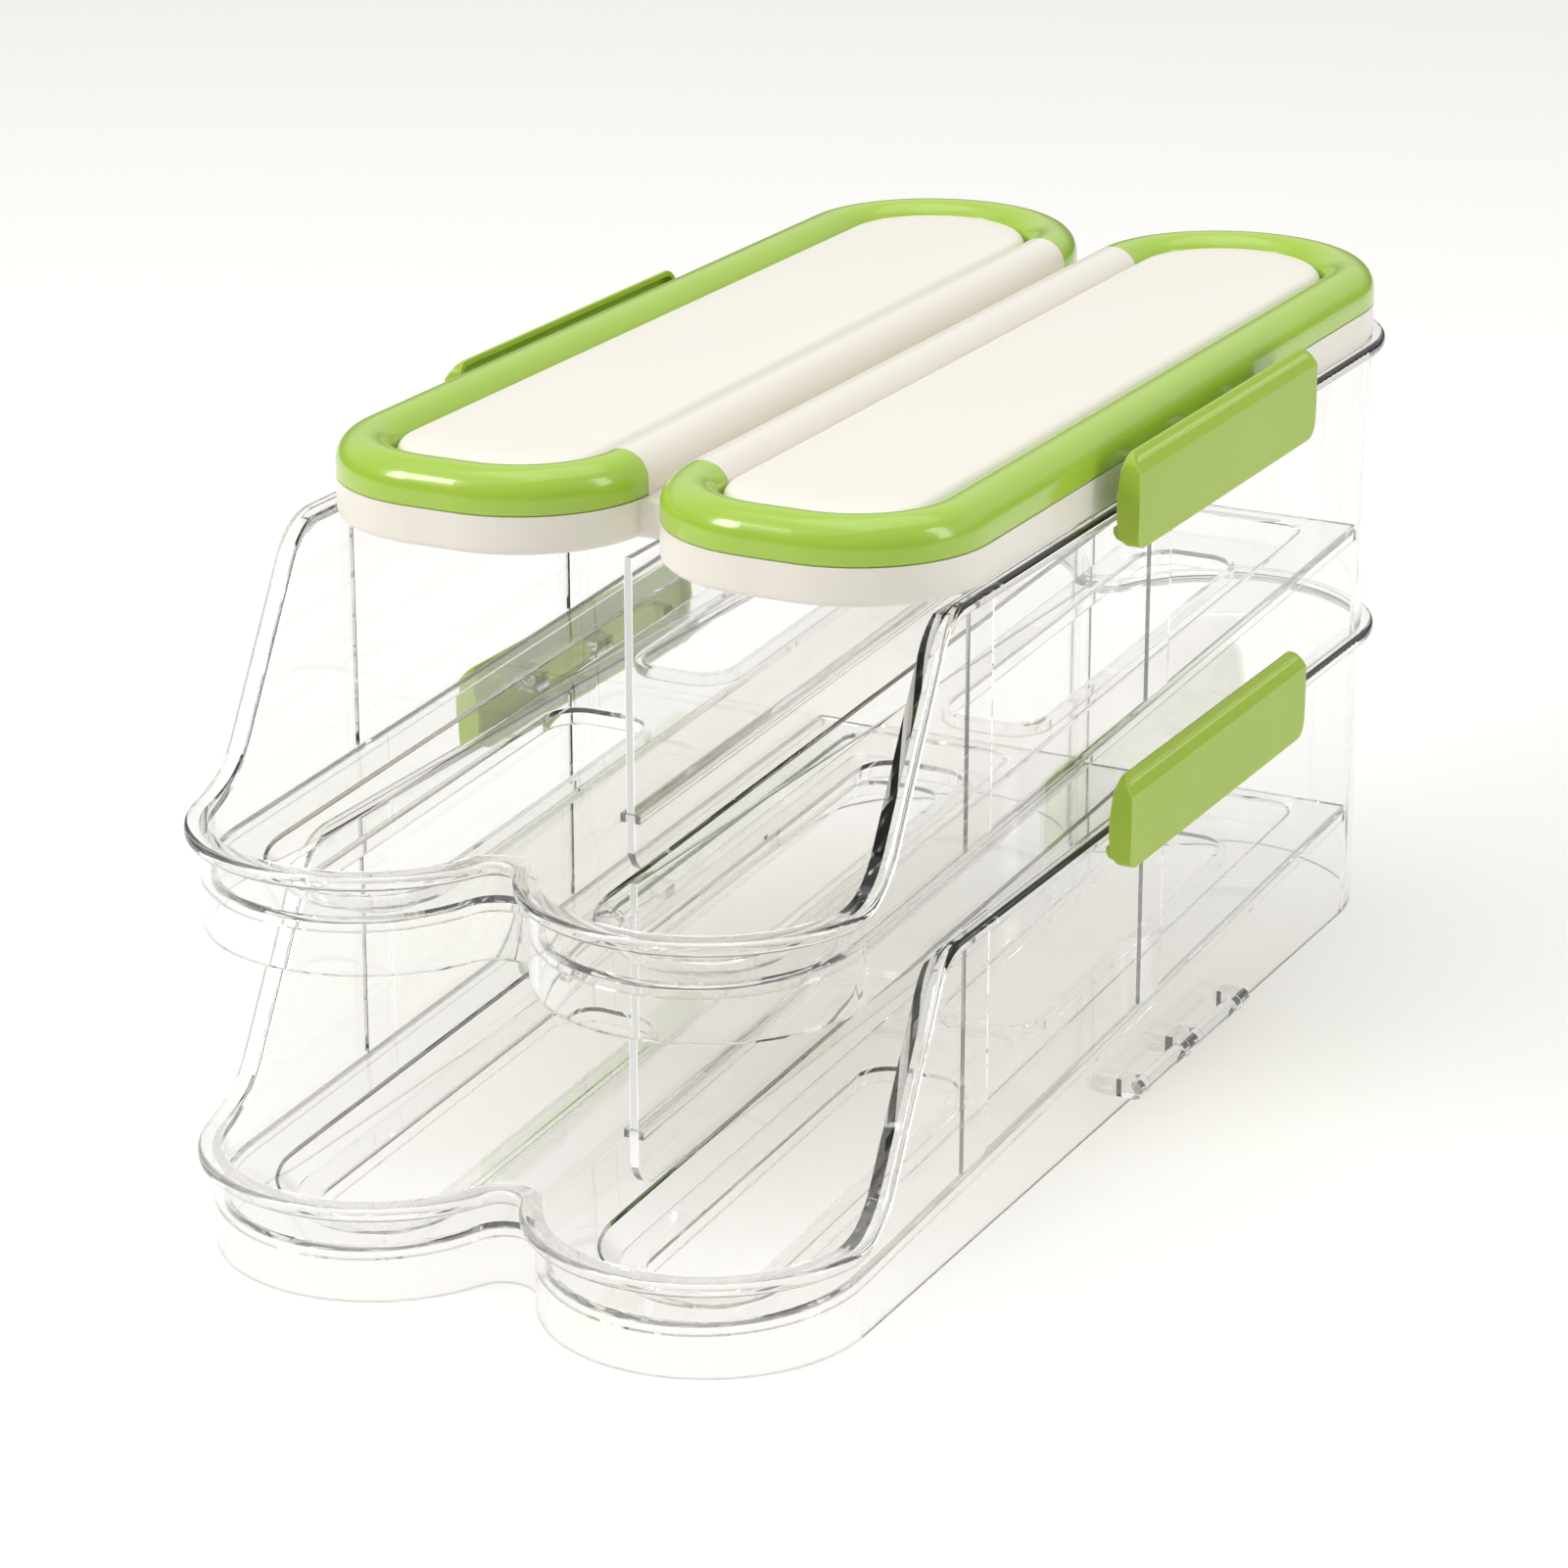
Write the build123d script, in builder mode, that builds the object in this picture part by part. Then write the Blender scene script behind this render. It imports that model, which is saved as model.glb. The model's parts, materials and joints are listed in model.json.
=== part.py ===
from build123d import *
from math import atan2, cos, degrees, radians, sin, sqrt, tan
import os

os.makedirs("parts", exist_ok=True)

# Rolling egg dispenser: two stacked clear trays, each with two egg lanes on a sloping ramp,
# closed by a lid and held together by four side clips.
# Millimetres. X runs across the lanes, the eggs roll out towards -Y, Z is up.
# The origin is on the standing surface, in the middle of the lower tray.
# Sizes that end in _back are measured back along the lanes from the front of the trays.

# Tray body
lobe_radius = 37.0
lane_gap = 7.0
valley_radius = 7.5
body_length = 352.0
wall = 1.8
tier_pitch = 75.0
seat_depth = 1.2
seat_clearance = 0.3

# Rim: low round the front lobes, then up the sides in an S
front_rim = 23.0
sweep_foot_back = 38.0
sweep_run = 30.5
sweep_foot_radius = 18.0
sweep_head_radius = 15.0
lip_reach = 3.2
lip_height = 3.2
lip_round = 1.3

# Ribs inside the side walls
rib_backs = (93.0, 190.0)
rib_width = 12.0
rib_proud = 1.0
rib_gap = 0.3

# Divider between the lanes, part of the tray
divider_wall = 1.8
divider_back = 78.0
divider_corner = 8.0
divider_gap = 0.5

# Sloping ramp
ramp_height = 21.5
ramp_rise = 17.6
ramp_rear_gap = 34.0
ramp_plate = 1.6
ramp_clearance = 0.4
ledge_reach = 1.6
ledge_height = 2.0
dish_radius = 23.4
dish_depth = 5.0
dish_taper = 40.0
dish_rear_margin = 4.0
dish_corner = 7.0
slot_width = 24.0
slot_corner = 8.0
slot_back = 25.0
front_slot_length = 115.0
slot_bridge = 31.0
slot_rear_margin = 22.0
slot_rim = 1.6
slot_rim_drop = 2.6

# Hinge on each side of a tray and of the lid
hinge_back = 203.0
pivot_out = 4.5
pivot_up = 6.5
bar_radius = 2.0
lug_radius = 2.2
hinge_length = 66.0
end_lug = 5.0
middle_lug = 8.0

# Side clip
clip_length = 106.0
clip_face_out = 6.2
clip_top = 9.4
clip_crease = 5.2
clip_bevel = 2.6
clip_crown = 1.0
clip_relief = 4.6
clip_bottom = -12.6
clip_skin = 1.8
clip_inner_drop = 0.45
clip_end_depth = 5.6
clip_corner_round = 6.0
clip_end_round = 4.5
clip_edge_round = 0.9
hook_wall = 1.6
hook_bite = 0.6
hook_gap = 1.2
hook_round = 1.7
hook_end_gap = 3.0
knuckle_skin = 1.3
knuckle_side_gap = 0.5
bar_clearance = 0.3
snap_mouth = 3.2

# Lid
lid_back = 63.0
lid_front_ease = 6.0
lid_band = 8.8
lid_skin = 2.2
lid_plate = 2.0
band_round = 1.8
web_overlap = 3.5
web_front_ease = 4.0
web_rear_reach = 10.0
plug_depth = 3.0
plug_skin = 1.6
plug_clearance = 0.4
plug_setback = 29.0
tube_width = 13.0
tube_height = 9.7
tube_round = 6.3
seam_gap = 0.2
ring_foot_chamfer = 0.5
pad_clearance = 0.5
pad_height = 7.6
pad_round = 3.0

# How far a cutting shape runs past what it cuts
cut_over = 1.0

# Worked out from the sizes above
front_y = -body_length / 2
half_lane = lobe_radius + lane_gap / 2
half_body = half_lane + lobe_radius
lobe_y = body_length / 2 - lobe_radius
reach_to_valley = lobe_radius + valley_radius
valley_rise = sqrt(reach_to_valley**2 - half_lane**2)
valley_angle = degrees(atan2(valley_rise, half_lane))
tray_height = tier_pitch + seat_depth
sweep_foot_y = front_y + sweep_foot_back
sweep_head_y = sweep_foot_y + sweep_run
sweep_tilt = degrees(atan2(tray_height - front_rim, sweep_run))
ramp_angle = atan2(ramp_rise, body_length)
ramp_rear_y = -front_y - ramp_rear_gap
front_slot_y = front_y + slot_back
rear_slot_y = front_slot_y + front_slot_length + slot_bridge
rear_slot_length = ramp_rear_y - slot_rear_margin - rear_slot_y
hinge_y = front_y + hinge_back
pivot_x = half_body + pivot_out
span = 2 * (half_body + lip_reach + cut_over)
lid_base_z = 2 * tier_pitch
lid_top_z = lid_base_z + lid_band
divider_front_y = front_y + divider_back
divider_rear_y = lobe_y + valley_rise - valley_radius
divider_length = divider_rear_y - wall / 2 - divider_front_y
divider_middle_y = divider_front_y + divider_length / 2
lid_front_y = front_y + lid_back
lid_front_corner = lobe_radius - lid_front_ease
plug_front_y = lid_front_y + plug_setback
seam_front = lid_front_y + lid_front_corner
seam_rear = lobe_y


# The outline that both trays share: two round-ended lanes with a soft valley between them.
# grow moves it outwards, or inwards when it is negative.
def twin_outline(grow=0.0):
    reach = lobe_radius + grow
    with BuildSketch() as outline:
        with BuildLine():
            Line((half_lane + reach, 0), (half_lane + reach, lobe_y))
            CenterArc((half_lane, lobe_y), reach, 0, 180 - valley_angle)
            CenterArc((0, lobe_y + valley_rise), valley_radius - grow, -90, 90 - valley_angle)
            mirror(about=Plane.YZ)
            mirror(about=Plane.XZ)
        make_face()
    return outline.sketch


# The side view of everything under the rim, with the rim lowered by drop.
def below_rim(drop=0.0):
    shift = drop * tan(radians(sweep_tilt / 2))
    with BuildSketch() as region:
        with BuildLine():
            rim = FilletPolyline(
                (-body_length, front_rim - drop),
                (sweep_foot_y + shift, front_rim - drop),
                (sweep_head_y + shift, tray_height - drop),
                (body_length, tray_height - drop),
                radius=(sweep_foot_radius + drop, sweep_head_radius - drop),
            )
            Polyline(rim @ 1, (body_length, -lip_reach), (-body_length, -lip_reach), rim @ 0)
        make_face()
    return region.sketch


# One egg lane's dish seen from above: round at the front, squarer at the rear.
def dish_outline(grow=0.0):
    rear = ramp_rear_y - dish_rear_margin
    with BuildSketch() as dish:
        with Locations((half_lane, 0), (-half_lane, 0)):
            with Locations((0, -lobe_y)):
                Circle(dish_radius + grow)
            with Locations((0, -lobe_y / 2)):
                Rectangle(2 * (dish_radius + grow), lobe_y)
            with Locations((0, rear / 2 + grow / 2)):
                RectangleRounded(2 * (dish_radius + grow), rear + grow, dish_corner + grow)
            with Locations((0, rear / 4)):
                Rectangle(2 * (dish_radius + grow), rear / 2)
    return dish.sketch


# The four long openings of a ramp.
def slot_outline(grow=0.0):
    with BuildSketch() as slots:
        for start, length in (
            (front_slot_y, front_slot_length),
            (rear_slot_y, rear_slot_length),
        ):
            with Locations((half_lane, start + length / 2), (-half_lane, start + length / 2)):
                RectangleRounded(slot_width + 2 * grow, length + 2 * grow, slot_corner + grow)
    return slots.sketch


# One lid pill: round like the tray at the rear, flatter at the front.
def pill_outline(grow=0.0):
    front = lid_front_y - grow
    rear = lobe_y + lobe_radius + grow
    width = 2 * (lobe_radius + grow)
    with BuildSketch() as pill:
        with Locations((half_lane, lobe_y)):
            Circle(width / 2)
        with Locations((half_lane, lobe_y / 2)):
            Rectangle(width, lobe_y)
        with Locations((half_lane, front / 2)):
            RectangleRounded(width, -front, lid_front_corner + grow)
        with Locations((half_lane, front / 4)):
            Rectangle(width, -front / 2)
    return pill.sketch


# Both pills with the web that joins them behind the front notch.
def lid_outline(grow=0.0):
    web_front = seam_front - web_front_ease - grow
    web_rear = seam_rear + web_rear_reach + grow
    with BuildSketch() as outline:
        add(pill_outline(grow))
        mirror(about=Plane.YZ)
        with Locations((0, (web_front + web_rear) / 2)):
            Rectangle(lane_gap + 2 * web_overlap, web_rear - web_front)
    return outline.sketch


# Three lugs joined by a round bar, on the right-hand side at the given height.
def hinge_part(base):
    block = hinge_length / 2 - end_lug / 2
    with BuildPart() as hinge:
        for place, width in ((-block, end_lug), (0, middle_lug), (block, end_lug)):
            lug_plane = Plane(origin=(0, hinge_y + place, base), x_dir=(1, 0, 0), z_dir=(0, -1, 0))
            with BuildSketch(lug_plane):
                with Locations((pivot_x, pivot_up)):
                    Circle(lug_radius)
                with Locations((pivot_x - pivot_out / 2 - wall / 4, pivot_up)):
                    Rectangle(pivot_out + wall / 2, 2 * lug_radius)
            extrude(amount=width / 2, both=True)
        bar_plane = Plane(origin=(0, hinge_y, base), x_dir=(1, 0, 0), z_dir=(0, -1, 0))
        with BuildSketch(bar_plane):
            with Locations((pivot_x, pivot_up)):
                Circle(bar_radius)
        extrude(amount=block, both=True)
    return hinge.part


# A clip on the right-hand side, snapped on the hinge at the given height: a bevelled cover
# with closed ends, two snap knuckles, and a hook that curls in and up under the tray's lip.
def clip_part(base):
    cross = Plane(
        origin=(pivot_x, hinge_y, base + pivot_up), x_dir=(1, 0, 0), z_dir=(0, -1, 0)
    )
    flank = Plane(origin=(pivot_x, hinge_y, base + pivot_up), x_dir=(0, 1, 0), z_dir=(1, 0, 0))
    above = Plane.XY.offset(base + pivot_up)
    back = clip_face_out - clip_end_depth
    hook_top = seat_depth - lip_height - pivot_up - hook_gap
    hook_middle = lip_reach - pivot_out - hook_bite + hook_wall / 2
    skin_middle = clip_face_out - hook_wall / 2
    knuckle = bar_radius + bar_clearance + knuckle_skin
    knuckle_length = (hinge_length - 2 * end_lug - middle_lug) / 2 - 2 * knuckle_side_gap
    knuckle_place = (middle_lug + knuckle_length) / 2 + knuckle_side_gap
    with BuildPart() as clip:
        with BuildSketch(cross) as cover:
            Polygon(
                (back, clip_bottom),
                (clip_face_out, clip_bottom),
                (clip_face_out, clip_crease),
                (clip_face_out - clip_bevel, clip_top),
                (clip_face_out - clip_bevel - clip_crown, clip_top),
                (back, clip_top - clip_relief),
                align=None,
            )
            fillet(cover.vertices().sort_by(Axis.X)[-3:], clip_edge_round)
        extrude(amount=clip_length / 2, both=True)
        with BuildSketch(flank):
            with Locations((0, (clip_top + clip_bottom) / 2)):
                RectangleRounded(clip_length, clip_top - clip_bottom, clip_corner_round)
        extrude(amount=2 * clip_face_out, both=True, mode=Mode.INTERSECT)
        with BuildSketch(above):
            with Locations((pivot_x, hinge_y)):
                RectangleRounded(2 * clip_face_out, clip_length, clip_end_round)
        extrude(amount=clip_top - clip_bottom, both=True, mode=Mode.INTERSECT)
        with BuildSketch(cross):
            Polygon(
                (back - cut_over, clip_bottom - cut_over),
                (clip_face_out - clip_skin, clip_bottom - cut_over),
                (clip_face_out - clip_skin, clip_crease - clip_inner_drop),
                (clip_face_out - clip_bevel - clip_skin, clip_top - clip_skin),
                (back - cut_over, clip_top - clip_skin),
                align=None,
            )
        extrude(amount=clip_length / 2 - clip_skin, both=True, mode=Mode.SUBTRACT)
        with BuildSketch(cross):
            with BuildLine():
                FilletPolyline(
                    (skin_middle, 0),
                    (skin_middle, clip_bottom + hook_wall / 2),
                    (hook_middle, clip_bottom + hook_wall / 2),
                    (hook_middle, hook_top),
                    radius=hook_round,
                )
                offset(amount=hook_wall / 2, side=Side.BOTH)
            make_face()
        extrude(amount=clip_length / 2 - hook_end_gap, both=True)
        for place in (-knuckle_place, knuckle_place):
            with BuildSketch(cross.offset(place)):
                Circle(knuckle)
                with Locations(((clip_face_out - clip_skin) / 2, 0)):
                    Rectangle(clip_face_out - clip_skin, 2 * knuckle)
                Circle(bar_radius + bar_clearance, mode=Mode.SUBTRACT)
                with Locations((-knuckle, 0)):
                    Rectangle(2 * knuckle, snap_mouth, mode=Mode.SUBTRACT)
            extrude(amount=knuckle_length / 2, both=True)
    return clip.part


def write(piece, name):
    piece.label = name
    export_step(piece, f"parts/{name}.step")


# Trays and their ramps, lower then upper
for level, base in (("lower", 0.0), ("upper", tier_pitch)):
    ground = Plane.XY.offset(base)
    flank = Plane(origin=(0, 0, base), x_dir=(0, 1, 0), z_dir=(1, 0, 0))
    ramp_top = Plane(
        origin=(0, 0, base + ramp_height),
        x_dir=(1, 0, 0),
        z_dir=(0, -sin(ramp_angle), cos(ramp_angle)),
    )

    # Rounded lip that follows the whole rim
    with BuildPart() as lip:
        with BuildSketch(flank):
            add(below_rim())
            add(below_rim(lip_height), mode=Mode.SUBTRACT)
        extrude(amount=span / 2, both=True)
        with BuildSketch(ground):
            add(twin_outline(lip_reach))
        extrude(amount=2 * tray_height, mode=Mode.INTERSECT)
        rim_edges = lip.edges().filter_by(Axis.X, reverse=True).filter_by(Axis.Z, reverse=True)
        fillet(rim_edges, lip_round)

    # Ledge that the ramp rests on, round the wall and along both sides of the divider
    with BuildPart() as ledge:
        with BuildSketch(ramp_top.offset(-ramp_plate)):
            Rectangle(span, 2 * body_length)
        extrude(amount=-ledge_height)
        with BuildSketch(ground):
            add(twin_outline(-wall / 2))
            add(twin_outline(-wall - ledge_reach), mode=Mode.SUBTRACT)
            with Locations((0, divider_middle_y)):
                Rectangle(divider_wall + 2 * ledge_reach, divider_length)
            with Locations((0, ramp_rear_y + body_length / 2)):
                Rectangle(span, body_length, mode=Mode.SUBTRACT)
        extrude(amount=tray_height, mode=Mode.INTERSECT)

    # Shallow ribs inside the side walls, from the ramp to the rim
    with BuildPart() as ribs:
        with BuildSketch(ground):
            for rib_back in rib_backs:
                inner_face = half_body - wall - rib_proud
                with Locations((inner_face + (rib_proud + wall / 2) / 2, front_y + rib_back)):
                    Rectangle(rib_proud + wall / 2, rib_width)
            mirror(about=Plane.YZ)
        extrude(amount=tier_pitch)
        with BuildSketch(ramp_top.offset(rib_gap)):
            Rectangle(span, 2 * body_length)
        extrude(amount=-tray_height, mode=Mode.SUBTRACT)
        with BuildSketch(flank):
            add(below_rim())
        extrude(amount=span / 2, both=True, mode=Mode.INTERSECT)

    # Divider between the lanes, with its lower front corner rounded
    with BuildPart() as divider:
        with BuildSketch(flank):
            with Locations((divider_middle_y, (tier_pitch - divider_gap) / 2)):
                Rectangle(divider_length, tier_pitch - divider_gap)
        extrude(amount=divider_wall / 2, both=True)
        fillet(divider.edges().filter_by(Axis.X).sort_by(Axis.Y)[:2].sort_by(Axis.Z)[0], divider_corner)

    with BuildPart() as tray:
        with BuildSketch(ground):
            add(twin_outline())
        extrude(amount=tray_height)
        with BuildSketch(flank):
            add(below_rim())
        extrude(amount=span / 2, both=True, mode=Mode.INTERSECT)
        add(lip.part)
        with BuildSketch(ground):
            add(twin_outline(-wall))
        extrude(amount=2 * tray_height, mode=Mode.SUBTRACT)
        with BuildSketch(ground.offset(tier_pitch)):
            add(twin_outline(seat_clearance))
        extrude(amount=tray_height, mode=Mode.SUBTRACT)
        add(ledge.part)
        add(ribs.part)
        add(divider.part)
        add(hinge_part(base))
        add(mirror(hinge_part(base), about=Plane.YZ, mode=Mode.PRIVATE))
    write(tray.part, f"{level}_tray")

    # Ramp: a plate with one dish per lane, each dish with two rimmed openings
    with BuildPart() as ramp:
        with BuildSketch(ramp_top):
            Rectangle(span, 2 * body_length)
        extrude(amount=-ramp_plate)
        with BuildSketch(ramp_top):
            add(dish_outline(ramp_plate))
        extrude(amount=-dish_depth - ramp_plate, taper=dish_taper)
        with BuildSketch(ground):
            add(twin_outline(-wall - ramp_clearance))
            with Locations((0, ramp_rear_y + body_length / 2)):
                Rectangle(span, body_length, mode=Mode.SUBTRACT)
            with Locations((0, divider_middle_y - ramp_clearance)):
                Rectangle(divider_wall + 2 * ramp_clearance, divider_length, mode=Mode.SUBTRACT)
        extrude(amount=tray_height, mode=Mode.INTERSECT)
        with BuildSketch(ramp_top):
            add(dish_outline())
        extrude(amount=-dish_depth, taper=dish_taper, mode=Mode.SUBTRACT)
        with BuildSketch(ramp_top.offset(-dish_depth)):
            add(slot_outline(slot_rim))
        extrude(amount=-ramp_plate - slot_rim_drop)
        with BuildSketch(ramp_top.offset(-dish_depth)):
            add(slot_outline())
        extrude(amount=-2 * ramp_plate - slot_rim_drop, mode=Mode.SUBTRACT)
    write(ramp.part, f"{level}_ramp")

# Lid base: a skirt with a top plate, two half-round bars beside the valley, a locating rim
# that hangs inside the tray, and the hinges of the two upper clips
with BuildPart() as lid_base:
    with BuildSketch(Plane.XY.offset(lid_base_z)):
        add(lid_outline())
    extrude(amount=lid_band)
    fillet(lid_base.edges().group_by(Axis.Z)[0], band_round)
    with BuildSketch(Plane.XY.offset(lid_base_z)):
        add(lid_outline(-lid_skin))
    extrude(amount=lid_band - lid_plate, mode=Mode.SUBTRACT)
    with BuildSketch(Plane.XY.offset(lid_base_z - plug_depth)):
        add(twin_outline(-wall - rib_proud - plug_clearance))
        add(twin_outline(-wall - rib_proud - plug_clearance - plug_skin), mode=Mode.SUBTRACT)
        with Locations((0, plug_front_y - body_length / 2)):
            Rectangle(span, body_length, mode=Mode.SUBTRACT)
        Rectangle(divider_wall + 2 * plug_clearance, 2 * body_length, mode=Mode.SUBTRACT)
    extrude(amount=plug_depth + lid_band - lid_plate / 2)
    add(hinge_part(lid_base_z))
    add(mirror(hinge_part(lid_base_z), about=Plane.YZ, mode=Mode.PRIVATE))

with BuildPart() as valley_bars:
    with BuildSketch(Plane.XY.offset(lid_top_z)):
        with Locations((half_lane - lobe_radius + tube_width / 2, (seam_front + seam_rear) / 2)):
            Rectangle(tube_width, seam_rear - seam_front - 2 * seam_gap)
    extrude(amount=tube_height)
    fillet(valley_bars.edges().filter_by(Axis.Y).group_by(Axis.Z)[-1], tube_round)
    mirror(about=Plane.YZ)

with BuildPart() as lid_whole:
    add(lid_base.part)
    add(valley_bars.part)
write(lid_whole.part, "lid_base")

# Green tube round each pill, open where the bar beside the valley lies
with BuildPart() as ring:
    with BuildSketch(Plane.XY.offset(lid_top_z)):
        add(pill_outline())
        add(pill_outline(-tube_width), mode=Mode.SUBTRACT)
    extrude(amount=tube_height)
    fillet(ring.edges().group_by(Axis.Z)[-1], tube_round)
    with BuildSketch(Plane.XY.offset(lid_top_z)):
        with Locations((0, (seam_front + seam_rear) / 2)):
            Rectangle(2 * half_lane, seam_rear - seam_front)
    extrude(amount=2 * tube_height, mode=Mode.SUBTRACT)
    chamfer(ring.faces().sort_by(Axis.Z)[0].outer_wire().edges(), ring_foot_chamfer)
write(ring.part, "lid_ring_right")
write(mirror(ring.part, about=Plane.YZ), "lid_ring_left")

# Soft-edged pad inside each ring
with BuildPart() as pad:
    with BuildSketch(Plane.XY.offset(lid_top_z)):
        add(pill_outline(-tube_width - pad_clearance))
    extrude(amount=pad_height)
    fillet(pad.edges().group_by(Axis.Z)[-1], pad_round)
write(pad.part, "lid_pad_right")
write(mirror(pad.part, about=Plane.YZ), "lid_pad_left")

# Clips: two hinged on the lid, two hinged on the upper tray
for owner, base in (("lid", lid_base_z), ("tray", tier_pitch)):
    write(clip_part(base), f"{owner}_clip_right")
    write(mirror(clip_part(base), about=Plane.YZ), f"{owner}_clip_left")
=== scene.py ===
import bpy
import json
import math
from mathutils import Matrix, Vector

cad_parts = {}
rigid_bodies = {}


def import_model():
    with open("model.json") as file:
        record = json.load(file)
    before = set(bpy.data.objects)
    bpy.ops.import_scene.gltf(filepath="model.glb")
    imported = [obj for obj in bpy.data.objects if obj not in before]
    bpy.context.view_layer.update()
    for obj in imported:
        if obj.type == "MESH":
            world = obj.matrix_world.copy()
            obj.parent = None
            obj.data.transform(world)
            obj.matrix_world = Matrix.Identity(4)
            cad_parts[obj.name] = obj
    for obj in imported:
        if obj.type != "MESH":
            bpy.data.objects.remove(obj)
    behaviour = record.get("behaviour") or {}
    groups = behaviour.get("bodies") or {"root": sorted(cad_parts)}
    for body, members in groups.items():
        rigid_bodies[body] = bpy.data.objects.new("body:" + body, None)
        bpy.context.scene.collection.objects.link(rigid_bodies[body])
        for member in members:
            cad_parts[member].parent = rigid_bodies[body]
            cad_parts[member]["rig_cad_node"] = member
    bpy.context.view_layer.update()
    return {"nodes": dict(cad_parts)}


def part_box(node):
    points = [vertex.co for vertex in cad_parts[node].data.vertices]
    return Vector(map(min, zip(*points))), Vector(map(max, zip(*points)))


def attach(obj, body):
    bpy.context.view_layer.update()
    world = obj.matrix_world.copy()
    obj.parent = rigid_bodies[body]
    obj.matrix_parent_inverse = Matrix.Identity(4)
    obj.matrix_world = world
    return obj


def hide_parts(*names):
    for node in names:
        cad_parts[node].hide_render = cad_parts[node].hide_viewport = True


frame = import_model()
bpy.ops.object.select_all(action="DESELECT")
nodes = frame["nodes"]
print("frame loaded:", len(nodes), "nodes")


# Studio: white table, sky, lamps and camera

studio = {
    "tableHalf": 1.9,
    "tableColor": (0.93, 0.925, 0.915, 1.0),
    "tableCloud": 0.985,  # share of that colour in the table's darker clouds
    "tableCloudScale": 1.3, "tableRoughness": 0.75, "tableSpecular": 0.1,
    "skyFront": [  # height of the direction from 0, straight down, to 1, straight up, and its colour
        (0.46, (0.05, 0.049, 0.047, 1.0)), (0.58, (0.17, 0.167, 0.162, 1.0)),
        (0.72, (0.85, 0.845, 0.835, 1.0)), (1.0, (1.0, 0.995, 0.985, 1.0))],
    "skyBehind": [
        (0.46, (0.16, 0.157, 0.152, 1.0)), (0.56, (0.32, 0.315, 0.305, 1.0)),
        (0.64, (1.40, 1.39, 1.37, 1.0)), (0.80, (1.40, 1.39, 1.37, 1.0)),
        (1.0, (1.0, 0.995, 0.985, 1.0))],
    "skyTurn": 0.35,  # how gradually the front turns into the back
    "skySeen": (1.66, 1.65, 1.63, 1.0),  # what the camera itself sees past the table
    "skyStrength": 0.55,
    "lamps": [  # name, place, what it points at, width, height, watts, colour
        ("windowLamp", (-1.1, -1.2, 1.15), (0.0, 0.0, 0.1), 0.5, 0.7, 17.0, (1.0, 0.985, 0.96)),
        ("ceilingLamp", (0.1, 0.3, 1.9), (0.0, 0.0, 0.0), 1.6, 1.6, 9.5, (1.0, 0.99, 0.975)),
        ("sideLamp", (1.6, 0.2, 0.8), (0.0, 0.0, 0.1), 0.4, 1.2, 7.0, (1.0, 0.99, 0.98))],
    "sunStrength": 0.52, "sunSoftness": math.radians(60),
    "sunTilt": (math.radians(14), math.radians(-12), 0.0),
    "bounces": 64,  # light crosses a dozen clear walls here, and runs along inside them to their edges
    "lens": 112.95, "sensor": 36.0, "sight": 50.0,
    "cameraPlace": (0.4891, -0.9807, 0.4582),
    "cameraLooksAt": (0.00031, -0.025, 0.075),
}


def newMaterial(name, inputs):
    material = bpy.data.materials.new(name)
    material.use_nodes = True
    tree = material.node_tree
    shader = tree.nodes["Principled BSDF"]
    for key, value in inputs.items():
        shader.inputs[key].default_value = value
    return material, tree, shader


def addNode(tree, kind, inputs=None, **settings):
    node = tree.nodes.new(kind)
    for key, value in settings.items():
        setattr(node, key, value)
    for key, value in (inputs or {}).items():
        node.inputs[key].default_value = value
    return node


def link(tree, *pairs):
    for start, end in pairs:
        tree.links.new(start, end)


def aim(thing, place, target):
    toTarget = Vector(target) - Vector(place)
    thing.rotation_euler = toTarget.to_track_quat("-Z", "Y").to_euler()


def makeTable():
    bpy.ops.mesh.primitive_plane_add(size=2 * studio["tableHalf"], location=(0, 0, 0))
    table = bpy.context.object
    table.name = "whiteTable"
    material, tree, shader = newMaterial("paintedTable", {
        "Roughness": studio["tableRoughness"], "Specular IOR Level": studio["tableSpecular"]})
    cloudColor = [studio["tableCloud"] * part for part in studio["tableColor"][:3]] + [1.0]
    place = addNode(tree, "ShaderNodeTexCoord")
    cloud = addNode(tree, "ShaderNodeTexNoise", {"Scale": studio["tableCloudScale"]})
    tone = addNode(tree, "ShaderNodeMixRGB", {"Color1": studio["tableColor"], "Color2": cloudColor})
    link(tree, (place.outputs["Object"], cloud.inputs["Vector"]),
         (cloud.outputs["Fac"], tone.inputs["Fac"]),
         (tone.outputs["Color"], shader.inputs["Base Color"]))
    table.data.materials.append(material)


def makeSkyRamp(tree, height, stops):
    ramp = addNode(tree, "ShaderNodeValToRGB")
    while len(ramp.color_ramp.elements) < len(stops):
        ramp.color_ramp.elements.new(1.0)
    for stop, (position, color) in zip(ramp.color_ramp.elements, stops):
        stop.position = position
        stop.color = color
    link(tree, (height, ramp.inputs["Fac"]))
    return ramp.outputs["Color"]


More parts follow.
